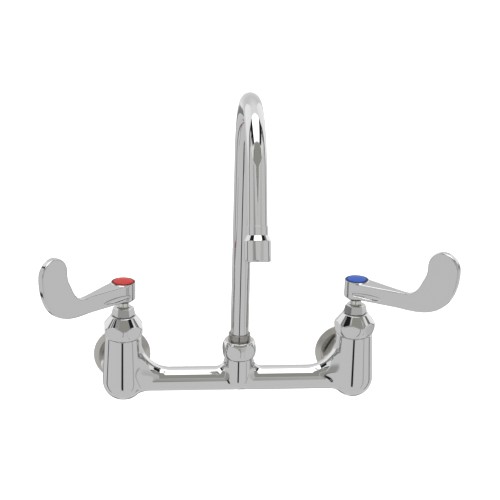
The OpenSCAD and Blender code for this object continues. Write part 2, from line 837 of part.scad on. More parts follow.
faucet_body();
swivel_nut();
swivel_washer();
wall_flange(hot);  // hot_wall_flange
coupling_nut(hot);  // hot_coupling_nut
coupling_washer(hot);  // hot_coupling_washer
seat_seal(hot);  // hot_seat_seal
fixed_disc(hot);  // hot_fixed_disc
cartridge_sleeve(hot);  // hot_cartridge_sleeve
bonnet_nut(hot);  // hot_bonnet_nut
packing_ring(hot);  // hot_packing_ring
packing_nut(hot);  // hot_packing_nut
rotor_disc(hot);  // hot_rotor_disc
valve_stem(hot);  // hot_valve_stem
stem_oring(hot);  // hot_stem_oring
handle(hot);  // hot_handle
handle_screw(hot);  // hot_handle_screw
index_button(hot);  // hot_index_button
wall_flange(cold);  // cold_wall_flange
coupling_nut(cold);  // cold_coupling_nut
coupling_washer(cold);  // cold_coupling_washer
seat_seal(cold);  // cold_seat_seal
fixed_disc(cold);  // cold_fixed_disc
cartridge_sleeve(cold);  // cold_cartridge_sleeve
bonnet_nut(cold);  // cold_bonnet_nut
packing_ring(cold);  // cold_packing_ring
packing_nut(cold);  // cold_packing_nut
rotor_disc(cold);  // cold_rotor_disc
valve_stem(cold);  // cold_valve_stem
stem_oring(cold);  // cold_stem_oring
handle(cold);  // cold_handle
handle_screw(cold);  // cold_handle_screw
index_button(cold);  // cold_index_button
gooseneck_tube();
spout_collar();
spout_orings();
outlet_cup();
outlet_washer();
flow_straightener();
outlet_screen();
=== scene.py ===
"""Looks of a wall-mounted gooseneck faucet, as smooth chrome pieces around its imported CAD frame.

All shapes are in millimetres, with the wall at y = 0, the tube axis at z = 0 and the spout at x = 0.
"""

import json
import math

import bpy
import numpy as np
from mathutils import Matrix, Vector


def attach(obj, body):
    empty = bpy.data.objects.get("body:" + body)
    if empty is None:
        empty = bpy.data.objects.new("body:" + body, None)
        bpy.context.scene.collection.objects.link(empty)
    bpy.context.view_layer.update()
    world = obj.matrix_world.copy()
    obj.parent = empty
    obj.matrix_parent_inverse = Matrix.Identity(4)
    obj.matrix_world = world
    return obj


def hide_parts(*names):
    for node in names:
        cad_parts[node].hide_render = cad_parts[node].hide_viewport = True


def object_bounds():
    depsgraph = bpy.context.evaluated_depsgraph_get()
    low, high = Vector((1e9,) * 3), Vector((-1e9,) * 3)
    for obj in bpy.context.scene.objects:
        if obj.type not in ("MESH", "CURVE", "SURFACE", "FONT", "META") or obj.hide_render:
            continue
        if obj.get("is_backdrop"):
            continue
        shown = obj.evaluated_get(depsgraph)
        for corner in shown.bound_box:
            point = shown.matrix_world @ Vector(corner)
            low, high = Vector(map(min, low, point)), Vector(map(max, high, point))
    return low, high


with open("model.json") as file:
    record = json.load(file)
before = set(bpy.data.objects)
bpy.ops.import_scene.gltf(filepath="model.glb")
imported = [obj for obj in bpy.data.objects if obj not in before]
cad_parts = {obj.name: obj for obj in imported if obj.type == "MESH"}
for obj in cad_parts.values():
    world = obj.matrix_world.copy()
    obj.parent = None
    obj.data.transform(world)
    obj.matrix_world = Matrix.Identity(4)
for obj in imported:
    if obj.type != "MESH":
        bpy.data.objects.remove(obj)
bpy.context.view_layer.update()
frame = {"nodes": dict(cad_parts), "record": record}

MM = 0.001
HOT, COLD = -1, 1

# Clearance between mating pieces, how far a cut passes a face, and a length through any piece
slack = 0.1
past = 1.0
through = 60.0

# Installation
centres = 203.2
wall_offset = 57.0

# Casting
cross_r = 10.75
cross_bore_r = 6.0
housing_r = 18.2
housing_rim_r = 15.9
housing_top = 42.0
valve_bore_r = 13.0
seat_z = 8.0
port_r = 5.0
chamber_r = 7.4
chamber_low, chamber_high = -9.0, 6.0
passage_r = 5.0
passage_top = (-10.0, 16.0)
passage_foot = (-24.0, 0.0)
cross_bore_stop = 18.0
boss_r = 13.3
boss_top = 21.0
boss_taper = 0.5
nose_r = 11.4
nose_top = 30.0
crest_fillet = 24.0
side_fillet = 11.0
boss_fillet = 8.0
shank_fillet = 1.5
crest_start, crest_full = -0.25, 0.85
rim_edge = 0.6
boss_edge = 0.5

# Couplings, measured out from the wall
flange_r = 25.8
flange_t = 5.0
flange_rim = 1.6
flange_cone = 4.5
pipe_r = 9.3
pipe_end = 15.0
thread_end = 20.0
shank_end = 22.4
shank_r = 9.6
shank_bore_r = 5.6
coupling_flats = 34.0
coupling_thread_r = 13.2
coupling_thread_end = 26.4
coupling_chamfer = 2.0
coupling_edge = 0.5
lip_len = 4.0
nut_start = 8.4
nut_end = 30.0

# Valves
stem_r = 4.8
stem_hole_r = stem_r + 0.3
bonnet_ball_r = 18.0
bonnet_flats = 32.8
bonnet_h = 19.2
bonnet_ball_z = 0.46 * bonnet_h
bonnet_top_r = 10.9
bonnet_spread = 0.78
bonnet_skirt = 12.0
bonnet_bore_r = 9.2
bonnet_turn = {HOT: 28.0, COLD: -15.5}
nut_edge = 0.3
nut_end_edge = 0.4
packing_thread_r = 7.0
packing_depth = 11.0
packing_gap = 0.8
packing_z = housing_top + bonnet_h + packing_gap
packing_flats = 18.2
packing_lean = 0.2
packing_h = 6.8
packing_skirt = 7.8
countersink_depth = 0.6

# Handles, measured from the underside of the hub
hub_z = 73.8
hub_r = 10.5
hub_h = 18.5
hub_chamfer = 3.2
hub_foot_r = hub_r - 4.0
hub_fillet = 0.8
button_seat = 16.1
button_r = 9.8
button_dome = 1.4
moat_r = 8.7
moat_depth = 0.3
moat_half_top, moat_half_floor = 0.4, 0.2
clip_inner_r = 5.0
clip_outer_r = 6.1
clip_len = 3.0
arm_len = 48.4
arm_h = 14.8
arm_mid = 10.4
blade_bend = 35.8
blade_w = 28.9
blade_rise = 1.7
blade_t = 6.0
blade_edge = 1.4
widening_angle = 61.0
taper_len = 0.92 * arm_len
taper_drop = hub_r - 0.6 - blade_t / 2
taper_softness = 0.004
scoop_x = 16.0
scoop_z = 7.8
scoop_r = 2.8
scoop_out = 1.5
scoop_reach = 12.0
scoop_fade = 0.9
scoop_end = 14.0
screw_head_r = 6.2
screw_head_z = 11.6
screw_hole_r = 2.3
socket_half = 3.6
socket_top = 8.4
swing = {HOT: 46.0, COLD: 40.0}

# Spout
swivel_z = 21.4
swivel_h = 15.4
swivel_ball_r = 15.2
swivel_ball_z = 0.45 * swivel_h
swivel_flats = 27.9
swivel_turn = 36.0
swivel_roof = 3.2
spout_r = 7.9375
spout_wall = 1.25
spout_fit = 0.02
tube_foot_z = 24.0
bend_z = 209.5
bend_r = 54.7
bend_angle = math.radians(180.0 - 20.5)
outlet_leg = 58.5
collar_r = 9.65
collar_top = 43.0
plug_r = 9.15
plug_z = 9.4
plug_top = 30.3
plug_hole_r = 9.2
plug_hole_z = 9.3
lip_z = 32.5
groove_depth = 2.0
groove_half = 1.0
groove_z = (12.6, 17.4)
spout_waterway_r = 6.4
cup_r = 10.4
cup_h = 16.6
cup_shoulder = 4.4
cup_thread_r = 8.9
cup_seat = 1.2
ring_start = 11.5
ring_height = 0.45

# Grid steps of the cast and forged pieces
body_step = 0.75
coupling_step = 0.5
nut_step = 0.4
packing_step = 0.3
blade_step = 0.7


# Meshes


def add_piece(name, shape, material, body, node):
    """Makes one object from (points, faces, normals) that stands for a CAD node."""
    points, faces, normals = shape
    mesh = bpy.data.meshes.new(name)
    mesh.from_pydata((points * MM).tolist(), [], faces)
    mesh.shade_smooth()
    mesh.normals_split_custom_set_from_vertices(normals.tolist())
    mesh.materials.append(material)
    piece = bpy.data.objects.new(name, mesh)
    bpy.context.scene.collection.objects.link(piece)
    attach(piece, body)
    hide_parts(node)
    return piece


def placed(shape, turn=0.0, mirrored=False, move=(0.0, 0.0, 0.0)):
    """The shape turned about Z in degrees, then mirrored in X, then moved."""
    points, faces, normals = shape
    c, s = math.cos(math.radians(turn)), math.sin(math.radians(turn))
    matrix = np.array([[c, -s, 0], [s, c, 0], [0, 0, 1]])
    if mirrored:
        matrix = np.diag([-1.0, 1.0, 1.0]) @ matrix
        faces = [face[::-1] for face in faces]
    return points @ matrix.T + np.array(move), faces, normals @ matrix.T


def on_valve(shape, side, turn=0.0, z=0.0):
    """Places a shape on a valve axis. The hot side mirrors the cold side."""
    move = (side * centres / 2, -wall_offset, z)
    return placed(shape, turn, side == HOT, move)


def on_inlet(shape, side):
    """Places a shape whose +Z points out from the wall on an inlet axis."""
    points, faces, normals = shape
    tip = np.array([[1, 0, 0], [0, 0, -1], [0, 1, 0]])
    return points @ tip.T + np.array([side * centres / 2, 0, 0]), faces, normals @ tip.T


# Turned and swept pieces


def rounded(corners, closed=True):
    """Outline through (radius, height, rounding) corners, with the solid on its left side.

    Returns its points and its outward normals. An open outline starts and ends on the axis.
    """
    fewest_steps, least_rounding, steps_per_length = 3, 0.3, 4
    straight = 1e-4
    corner = np.array([c[:2] for c in corners], float)
    rounding = [c[2] for c in corners]
    count = len(corners)
    points, normals = [], []
    for i in range(count):
        if not closed and i in (0, count - 1):
            step = corner[1] - corner[0] if i == 0 else corner[i] - corner[i - 1]
            step /= np.linalg.norm(step)
            points.append(corner[i])
            normals.append(np.array([step[1], -step[0]]))
            continue
        before = corner[i] - corner[i - 1]
        after = corner[(i + 1) % count] - corner[i]
        before /= np.linalg.norm(before)
        after /= np.linalg.norm(after)
        cross = before[0] * after[1] - before[1] * after[0]
        turn = math.atan2(cross, before @ after)
        n0 = np.array([before[1], -before[0]])
        if abs(turn) < straight:
            points.append(corner[i])
            normals.append(n0)
            continue
        back = rounding[i] * math.tan(abs(turn) / 2)
        side = 1 if turn > 0 else -1
        centre = corner[i] - before * back - n0 * rounding[i] * side
        arc = abs(turn) * max(rounding[i], least_rounding)
        steps = max(fewest_steps, int(arc * steps_per_length))
        for k in range(steps + 1):
            c, s = math.cos(turn * k / steps), math.sin(turn * k / steps)
            n = np.array([n0[0] * c - n0[1] * s, n0[0] * s + n0[1] * c])
            points.append(centre + n * rounding[i] * side)
            normals.append(n)
    return np.array(points), np.array(normals)


def subdivided(outline, longest):
    """Adds points on the straight stretches of a closed outline, for sweeping round a bend."""
    points, normals = outline
    count = len(points)
    new_points, new_normals = [], []
    for i in range(count):
        j = (i + 1) % count
        steps = max(1, math.ceil(np.linalg.norm(points[j] - points[i]) / longest))
        for k in range(steps):
            f = k / steps
            new_points.append(points[i] * (1 - f) + points[j] * f)
            new_normals.append(normals[i] * (1 - f) + normals[j] * f)
    return np.array(new_points), np.array(new_normals)


def upright(s):
    """Straight path up the Z axis: where it is at s, its two side directions, and its direction."""
    return (0, 0, s), (1, 0, 0), (0, 1, 0), (0, 0, 1)


def spout_path(s):
    """Centre line of the gooseneck: up the riser, round the bend and down the outlet leg."""
    a = min(max((s - bend_z) / bend_r, 0.0), bend_angle)
    ahead = (0, -math.sin(a), math.cos(a))
    rest = s - bend_z - a * bend_r
    y = -wall_offset - bend_r * (1 - math.cos(a)) + rest * ahead[1]
    z = bend_z + bend_r * math.sin(a) + rest * ahead[2]
    return (0, y, z), (1, 0, 0), (0, math.cos(a), math.sin(a)), ahead


def turned(outline, steps=96, path=upright, closed=True):
    """Turns an outline about a path, straight or bent."""
    points, normals = outline
    angle = 2 * math.pi * np.arange(steps) / steps
    rings, ring_normals = [], []
    for (r, s), (nr, ns) in zip(points, normals):
        origin, side_a, side_b, ahead = (np.array(v, float) for v in path(s))
        spoke = np.outer(np.cos(angle), side_a) + np.outer(np.sin(angle), side_b)
        rings.append(origin + r * spoke)
        ring_normals.append(nr * spoke + ns * ahead)
    rows = len(rings)
    faces = []
    if closed:
        pairs = [(i, (i + 1) % rows) for i in range(rows)]
    else:
        pairs = [(i, i + 1) for i in range(1, rows - 2)]
    for i, j in pairs:
        for k in range(steps):
            m = (k + 1) % steps
            faces.append([i * steps + k, i * steps + m, j * steps + m, j * steps + k])
    if not closed:
        last = (rows - 1) * steps
        for k in range(steps):
            m = (k + 1) % steps
            faces.append([0, steps + m, steps + k])
            faces.append([last, last - steps + k, last - steps + m])
    all_points = np.concatenate(rings)
    all_normals = np.concatenate(ring_normals)
    if not closed:
        used = np.r_[0, steps : last + 1]
        new = {old: at for at, old in enumerate(used.tolist())}
        faces = [[new[v] for v in face] for face in faces]
        all_points, all_normals = all_points[used], all_normals[used]
    return all_points, faces, all_normals


# Cast and forged pieces, as distance functions that are negative inside


def join(a, b, fillet):
    """Union with a round fillet."""
    outside = np.maximum(fillet, np.minimum(a, b))
    return outside - np.hypot(np.maximum(fillet - a, 0), np.maximum(fillet - b, 0))


def roll(a, b, facing, fillet):
    """Union with a rolling ball's fillet. facing is the cosine between the surfaces' normals."""
    near_a, near_b = fillet - a, fillet - b
    touching = (near_a > 0) & (near_b > 0) & (near_a > facing * near_b) & (near_b > facing * near_a)
    away = near_a**2 + near_b**2 - 2 * facing * near_a * near_b
    ball = fillet - np.sqrt(np.maximum(away, 0) / np.maximum(1 - facing**2, 1e-6))
    return np.where(touching, ball, np.minimum(a, b))


def keep(a, b, rounding):
    """Intersection with a rounded edge."""
    inside = np.minimum(-rounding, np.maximum(a, b))
    return inside + np.hypot(np.maximum(rounding + a, 0), np.maximum(rounding + b, 0))


def cut(a, b, rounding=0.1):
    """What is left of a when b is taken out of it."""
    return keep(a, -b, rounding)


def rod(r, x, y, z, low, high):
    """Cylinder along the third coordinate."""
    return np.maximum(np.hypot(x, y) - r, np.maximum(low - z, z - high))


def smooth(t):
    """Eases from 0 to 1."""
    t = np.clip(t, 0, 1)
    return t * t * (3 - 2 * t)


def hexagon(x, y, flats, turn):
    """Distance to a hexagon that has a corner at the angle turn, in degrees."""
    far = np.full(np.shape(x), -1e9)
    for k in range(3):
        a = math.radians(turn + 30 + 60 * k)
        far = np.maximum(far, np.abs(x * math.cos(a) + y * math.sin(a)))
    return far - flats / 2


def skin(distance, xs, ys, zs):
    """Quad mesh on the zero level of a distance function, with its gradient as normals."""
    axes = (xs, ys, zs)
    grid = distance(*np.meshgrid(xs, ys, zs, indexing="ij"))
    solid = grid < 0
    corners = [
        solid[i : i - 1 or None, j : j - 1 or None, k : k - 1 or None]
        for i in (0, 1) for j in (0, 1) for k in (0, 1)
    ]
    filled = np.sum(corners, axis=0)
    cells = np.argwhere((filled > 0) & (filled < 8))
    index = np.full(filled.shape, -1)
    index[tuple(cells.T)] = np.arange(len(cells))

    def place(at):
        return np.stack([axes[k][at[:, k]] for k in range(3)], axis=1)

    total = np.zeros((len(cells), 3))
    hits = np.zeros((len(cells), 1))
    for axis in range(3):
        for a in (0, 1):
            for b in (0, 1):
                start = cells.copy()
                start[:, (axis + 1) % 3] += a
                start[:, (axis + 2) % 3] += b
                end = start.copy()
                end[:, axis] += 1
                v0, v1 = grid[tuple(start.T)], grid[tuple(end.T)]
                crossing = (v0 < 0) != (v1 < 0)
                t = (v0 / np.where(crossing, v0 - v1, 1))[:, None]
                crossing = crossing[:, None]
                total += np.where(crossing, place(start) * (1 - t) + place(end) * t, 0)
                hits += crossing
    points = total / hits

    faces = []
    for axis in range(3):
        u, v = (axis + 1) % 3, (axis + 2) % 3
        low = [slice(None)] * 3
        high = [slice(None)] * 3
        low[axis], high[axis] = slice(None, -1), slice(1, None)
        leaving = solid[tuple(low)] & ~solid[tuple(high)]
        entering = ~solid[tuple(low)] & solid[tuple(high)]
        for mask, outward in ((leaving, True), (entering, False)):
            edges = np.argwhere(mask)
            ring = []
            for du, dv in ((-1, -1), (0, -1), (0, 0), (-1, 0)):
                cell = edges.copy()
                cell[:, u] += du
                cell[:, v] += dv
                ring.append(index[tuple(cell.T)])
            quads = np.stack(ring if outward else ring[::-1], axis=1)
            faces.extend(quads.tolist())

    passes, least_size = 3, 0.2
    reach = 0.5 * min(np.diff(a).min() for a in axes)
    for _ in range(passes):
        slope = gradient(distance, points)
        size = np.maximum((slope * slope).sum(axis=1, keepdims=True), least_size)
        step = distance(*points.T)[:, None] * slope / size
        length = np.maximum(np.linalg.norm(step, axis=1, keepdims=True), 1e-9)
        points = points - step * np.minimum(1, reach / length)
    normals = gradient(distance, points)
    normals /= np.linalg.norm(normals, axis=1, keepdims=True)
    return points, faces, normals


def gradient(distance, points, step=0.02):
    """Slope of a distance function, by small steps to both sides."""
    slope = []
    for axis in range(3):
        shift = np.zeros(3)
        shift[axis] = step
        slope.append(distance(*(points + shift).T) - distance(*(points - shift).T))
    return np.stack(slope, axis=1) / (2 * step)


def spaced(low, high, step):
    """Grid positions from low to high with a margin, none of them on a round number."""
    margin, extra_steps = 1.53, 4
    count = math.ceil((high - low) / step) + extra_steps
    return low - margin * step + step * np.arange(count)


def fine_then_coarse(low, fine_high, high):
    """Grid positions that are fine round the hub and coarser along the blade."""
    fine = spaced(low, fine_high, nut_step)
    return np.r_[fine, np.arange(fine[-1] + blade_step, high + 3 * blade_step, blade_step)]


def nut_skin(distance, corner_r, low, high, step):
    """Skin of a nut that stands upright from low to high, with its corners at corner_r."""
    across = spaced(-corner_r, corner_r, step)
    return skin(distance, across, across, spaced(low, high, step))


def faucet_body(x, y, z):
    """Casting of both valve housings, the cross tube and the boss. y is measured from its axis."""
    along = np.abs(x)
    hx = along - centres / 2
    around = np.hypot(y, z)
    tube = around - cross_r

    lean = math.atan2(housing_r - housing_rim_r, housing_top)
    rho = np.hypot(hx, y)
    is_cone = z * math.cos(lean) > rho * math.sin(lean)
    cone = (rho - housing_r / math.cos(lean)) * math.cos(lean) + z * math.sin(lean)
    ball = np.hypot(rho, z) - housing_r
    housing = np.where(is_cone, cone, ball)
    housing = keep(housing, z - housing_top, rim_edge)
    facing = np.where(is_cone, y * y / (around * rho + 1e-6), around / np.hypot(rho, z))
    crest = smooth((z / cross_r - crest_start) / (crest_full - crest_start))
    fillet = side_fillet + (crest_fillet - side_fillet) * crest
    inner = roll(tube, housing, facing, fillet)
    casting = np.where(hx < 0, inner, np.minimum(np.maximum(tube, hx), housing))

    boss_z = boss_r - cross_r + slack
    boss_rho = np.hypot(x, y)
    above = z > boss_z
    drum = boss_rho - boss_r + boss_taper * (z - boss_z) / (boss_top - boss_z)
    from_ball = np.hypot(boss_rho, z - boss_z)
    boss = keep(np.where(above, drum, from_ball - boss_r), z - boss_top, boss_edge)
    ball_facing = (y * y + z * (z - boss_z)) / (around * from_ball + 1e-6)
    facing = np.where(above, y * y / (around * boss_rho + 1e-6), ball_facing)
    casting = roll(casting, boss, facing, boss_fillet)
    casting = np.minimum(casting, rod(nose_r, x, y, z, 0, nose_top))

    shank_len = wall_offset - shank_end
    shank = rod(shank_r, hx, z, y, 0, shank_len)
    casting = join(casting, shank, shank_fillet)
    lip = rod(coupling_thread_r - slack, hx, z, y, shank_len - lip_len, shank_len)
    casting = np.minimum(casting, lip)

    # Slanting passage from the valve seat down to the cross tube
    passage = np.subtract(passage_foot, passage_top)
    run = np.hypot(*passage)
    ux, uz = passage / run
    from_x, from_z = hx - passage_top[0], z - passage_top[1]
    down = from_x * ux + from_z * uz
    aside = from_x * -uz + from_z * ux
    for hollow in (
        rod(valve_bore_r, hx, y, z, seat_z, through),
        rod(port_r, hx, y, z, 0, seat_z + 2 * past),
        rod(chamber_r, hx, y, z, chamber_low, chamber_high),
        rod(passage_r, aside, y, down, 0, run),
        rod(cross_bore_r, y, z, along, -past, centres / 2 - cross_bore_stop),
        rod(shank_bore_r, hx, z, y, 0, through),
        rod(plug_hole_r, x, y, z, plug_hole_z, through),
        rod(spout_waterway_r, x, y, z, 0, plug_hole_z + past),
    ):
        casting = cut(casting, hollow)
    return casting


def bonnet_nut(x, y, z):
    """Ball-cornered hexagon with its threaded skirt. z is measured from the housing rim."""
    ball = np.sqrt(x * x + y * y + (z - bonnet_ball_z) ** 2) - bonnet_ball_r
    cone = np.hypot(x, y) - bonnet_top_r + bonnet_spread * (z - bonnet_h)
    cone = cone / math.hypot(1, bonnet_spread)
    nut = keep(keep(ball, hexagon(x, y, bonnet_flats, 0), nut_edge), cone, nut_end_edge)
    nut = keep(keep(nut, z - bonnet_h, nut_end_edge), -z, nut_edge)
    nut = np.minimum(nut, rod(valve_bore_r - slack, x, y, z, -bonnet_skirt, past))
    nut = cut(nut, rod(bonnet_bore_r, x, y, z, -through, 0))
    nut = cut(nut, rod(stem_hole_r, x, y, z, -through, through))
    return cut(nut, rod(packing_thread_r, x, y, z, bonnet_h - packing_depth, through))


def packing_nut(x, y, z):
    """Tapered hexagon on a neck, with its skirt. z is measured from the hexagon's foot."""
    sides = (hexagon(x, y, packing_flats, 0) + packing_lean * z) / math.hypot(1, packing_lean)
    nut = keep(keep(sides, z - packing_h, nut_end_edge), -z, nut_edge)
    nut = np.minimum(nut, rod(packing_thread_r + packing_gap, x, y, z, -packing_gap, past))
    nut = np.minimum(nut, rod(packing_thread_r - slack, x, y, z, -packing_skirt, 0))
    flare = (np.hypot(x, y) - stem_hole_r - (z - packing_h + countersink_depth)) / math.sqrt(2)
    nut = cut(nut, np.maximum(flare, packing_h - 2 * countersink_depth - z))
    return cut(nut, rod(stem_hole_r, x, y, z, -through, through))


def swivel_nut(x, y, z):
    """Ball-cornered hexagon over the boss's nose. z is measured from its underside."""
    ball = np.sqrt(x * x + y * y + (z - swivel_ball_z) ** 2) - swivel_ball_r
    nut = keep(ball, hexagon(x, y, swivel_flats, swivel_turn), nut_edge)
    nut = keep(keep(nut, z - swivel_h, nut_end_edge), -z, nut_end_edge)
    nut = cut(nut, rod(nose_r + slack, x, y, z, -past, swivel_h - swivel_roof))
    return cut(nut, rod(collar_r + slack / 2, x, y, z, -past, through), slack)


def coupling_nut(x, y, z):
    """Hexagon with chamfered corners over the coupling thread. z is measured from the wall."""
    rho = np.hypot(x, y)
    face_r = coupling_flats / 2 + nut_end_edge
    nut = hexagon(x, y, coupling_flats, 0)
    for from_end in (z - nut_start, nut_end - z):
        chamfer = (rho - face_r - coupling_chamfer * from_end) / math.hypot(1, coupling_chamfer)
        nut = keep(nut, chamfer, nut_edge)
    nut = keep(keep(nut, z - nut_end, coupling_edge), nut_start - z, coupling_edge)
    nut = cut(nut, rod(coupling_thread_r, x, y, z, 0, coupling_thread_end))
    return cut(nut, rod(shank_r + slack, x, y, z, 0, through), nut_edge)


def handle(x, y, z):
    """Hub and wrist blade, pointing along +X. z is measured from the underside of the hub."""
    rho = np.hypot(x, y)
    hub = keep(rho - hub_r, z - hub_h, nut_end_edge)
    steep = (hub_r - hub_foot_r) / hub_chamfer
    foot = (rho - hub_foot_r - steep * z) / math.hypot(1, steep)
    hub = keep(keep(hub, foot, coupling_edge), -z, nut_edge)

    centre_z = arm_mid + blade_bend
    below = centre_z - z
    swung = np.arctan2(x - arm_len, below)
    in_arm = x < arm_len
    in_rise = (z > centre_z) & ~in_arm
    bend_end = arm_len + blade_bend * math.pi / 2
    along = np.where(in_arm, x, arm_len + blade_bend * swung)
    along = np.where(in_rise, bend_end - below, along)
    across = np.where(in_arm, z - arm_mid, blade_bend - np.hypot(x - arm_len, below))
    across = np.where(in_rise, arm_len + blade_bend - x, across)

    widened = blade_bend * math.radians(widening_angle)
    grow = (1 - np.cos(math.pi * np.clip((along - arm_len) / widened, 0, 1))) / 2
    half = arm_h / 2 + (blade_w - arm_h) / 2 * grow
    tip = bend_end + blade_rise
    beyond = np.hypot(along - tip, across) - blade_w / 2
    edge = np.where(along < tip, np.abs(across) - half, beyond)
    left = 1 - along / taper_len
    taper = (left + np.sqrt(left * left + taper_softness)) / 2 * taper_drop
    thick = np.abs(y) - blade_t / 2 - taper
    thick = thick / np.sqrt(1 + (taper_drop / taper_len * (left > 0)) ** 2)
    blade = keep(edge, thick, blade_edge)
    blade = np.maximum(blade, -x)
    whole = join(hub, blade, hub_fillet)

    # Lens-shaped scoop in each flank of the arm
    slant = math.atan2(taper_drop, taper_len)
    out_x = x - scoop_x
    out_y = np.abs(y) - blade_t / 2 - (1 - scoop_x / taper_len) * taper_drop
    u = out_x * math.cos(slant) - out_y * math.sin(slant)
    v = out_x * math.sin(slant) + out_y * math.cos(slant)
    scoop = np.hypot(v - scoop_out, z - scoop_z) - scoop_r + scoop_fade * (u / scoop_reach) ** 2
    whole = cut(whole, np.maximum(scoop, np.abs(u) - scoop_end))

    # Seat of the button, screw hole and square socket of the stem
    whole = cut(whole, rod(button_r + slack, x, y, z, button_seat, through))
    whole = cut(whole, rod(screw_head_r, x, y, z, screw_head_z, through))
    whole = cut(whole, rod(screw_hole_r, x, y, z, -past, through))
    square = np.maximum(np.abs(x), np.abs(y)) - socket_half
    return cut(whole, np.maximum(square, z - socket_top))


# Materials


def new_material(name, colour, metallic, roughness):
    """A material and its shader node."""
    material = bpy.data.materials.new(name)
    material.use_nodes = True
    shader = material.node_tree.nodes["Principled BSDF"]
    shader.inputs["Base Color"].default_value = (*colour, 1)
    shader.inputs["Metallic"].default_value = metallic
    shader.inputs["Roughness"].default_value = roughness
    return material, shader


def plain(name, colour, roughness, metallic=0.0, coat=0.0):
    """One even colour, as metal or as enamel, rubber or plastic."""
    material, shader = new_material(name, colour, metallic, roughness)
    if metallic == 0.0:
        shader.inputs["Specular IOR Level"].default_value = 0.3
    shader.inputs["Coat Weight"].default_value = coat
    shader.inputs["Coat Roughness"].default_value = 0.05
    return material


def enamel_with_painted_rim_shade(name, colour, roughness):
    """Enamel with painted shade that darkens it towards the rim of a round piece, in place of the shading
    on the piece's side.
    """
    # Painted shade on the rim: between these two fractions of the piece's half width, the colour falls to
    # this share of itself
    rim_start, rim_end, painted_rim_shade = 0.82, 0.97, 0.12
    material, shader = new_material(name, colour, 0.0, roughness)
    shader.inputs["Specular IOR Level"].default_value = 0.3
    nodes, links = material.node_tree.nodes, material.node_tree.links
    coordinates = nodes.new("ShaderNodeTexCoord")
    flatten = nodes.new("ShaderNodeVectorMath")
    flatten.operation = "MULTIPLY_ADD"
    flatten.inputs[1].default_value = (2, 2, 0)
    flatten.inputs[2].default_value = (-1, -1, 0)
    radius = nodes.new("ShaderNodeVectorMath")
    radius.operation = "LENGTH"
    rim = nodes.new("ShaderNodeMapRange")
    rim.interpolation_type = "SMOOTHSTEP"
    rim.inputs["From Min"].default_value = rim_start
    rim.inputs["From Max"].default_value = rim_end
    shade = nodes.new("ShaderNodeMix")
    shade.data_type = "RGBA"
    shade.inputs[6].default_value = (*colour, 1)
    shade.inputs[7].default_value = (*(painted_rim_shade * part for part in colour), 1)
    links.new(coordinates.outputs["Generated"], flatten.inputs[0])
    links.new(flatten.outputs["Vector"], radius.inputs[0])
    links.new(radius.outputs["Value"], rim.inputs["Value"])
    links.new(rim.outputs["Result"], shade.inputs[0])
    links.new(shade.outputs[2], shader.inputs["Base Color"])
    return material


def brushed(name, colour, roughness, stretch):
    """Metal with fine brush marks that run across the direction of the large stretch."""
    material, shader = new_material(name, colour, 1.0, roughness)
    nodes, links = material.node_tree.nodes, material.node_tree.links
    coordinates = nodes.new("ShaderNodeTexCoord")
    mapping = nodes.new("ShaderNodeMapping")
    mapping.inputs["Scale"].default_value = stretch
    noise = nodes.new("ShaderNodeTexNoise")
    noise.inputs["Scale"].default_value = 60.0
    noise.inputs["Detail"].default_value = 4.0
    bump = nodes.new("ShaderNodeBump")
    bump.inputs["Strength"].default_value = 0.15
    bump.inputs["Distance"].default_value = 0.0002
    links.new(coordinates.outputs["Object"], mapping.inputs["Vector"])
    links.new(mapping.outputs["Vector"], noise.inputs["Vector"])
    links.new(noise.outputs["Fac"], bump.inputs["Height"])
    links.new(bump.outputs["Normal"], shader.inputs["Normal"])
    return material


CHROME = (0.57, 0.575, 0.57)
finish = {
    "body_chrome": plain("body_chrome", CHROME, 0.05, 1.0),
    "nut_chrome": plain("nut_chrome", CHROME, 0.04, 1.0),
    "coupling_chrome": plain("coupling_chrome", (0.6, 0.59, 0.565), 0.14, 1.0),
    "flange_steel": brushed("flange_steel", (0.5, 0.485, 0.46), 0.3, (1.0, 14.0, 1.0)),
    "handle_chrome": plain("handle_chrome", (0.55, 0.555, 0.55), 0.06, 1.0),
    "spout_chrome": plain("spout_chrome", CHROME, 0.035, 1.0),
    "valve_brass": plain("valve_brass", (0.72, 0.55, 0.25), 0.3, 1.0),
    "stem_brass": plain("stem_brass", (0.6, 0.59, 0.56), 0.12, 1.0),
    "disc_ceramic": plain("disc_ceramic", (0.86, 0.85, 0.8), 0.15, 0.0, 0.5),
    "seal_rubber": plain("seal_rubber", (0.02, 0.02, 0.022), 0.6),
    "packing_white": plain("packing_white", (0.85, 0.85, 0.82), 0.45),
    "screw_steel": plain("screw_steel", (0.5, 0.5, 0.5), 0.28, 1.0),
    "straightener_grey": plain("straightener_grey", (0.55, 0.56, 0.57), 0.4),
    # Enamel index buttons, with painted shade darkening their rims
    "button_red": enamel_with_painted_rim_shade("button_red", (0.52, 0.02, 0.012), 0.42),
    "button_blue": enamel_with_painted_rim_shade("button_blue", (0.015, 0.08, 0.42), 0.42),
}

record = frame["record"]
slots = {part["node"]: part["material_slot"] for part in record["subparts"]}
bodies = {node: body for body, nodes in record["behaviour"]["bodies"].items() for node in nodes}
for node, piece in frame["nodes"].items():
    piece.data.materials.clear()
    piece.data.materials.append(finish[slots[node]])


def show(name, shape, node, material=None):
    """Adds a smooth piece in the place of a CAD node, with that node's finish and body."""
    return add_piece(name, shape, material or finish[slots[node]], bodies[node], node)


# Body and couplings
reach = centres / 2 + housing_r
body = skin(
    faucet_body,
    spaced(-reach, reach, body_step),
    spaced(-housing_r, wall_offset - shank_end, body_step),
    spaced(-housing_r, housing_top, body_step),
)
show("casting", placed(body, move=(0, -wall_offset, 0)), "faucet_body")

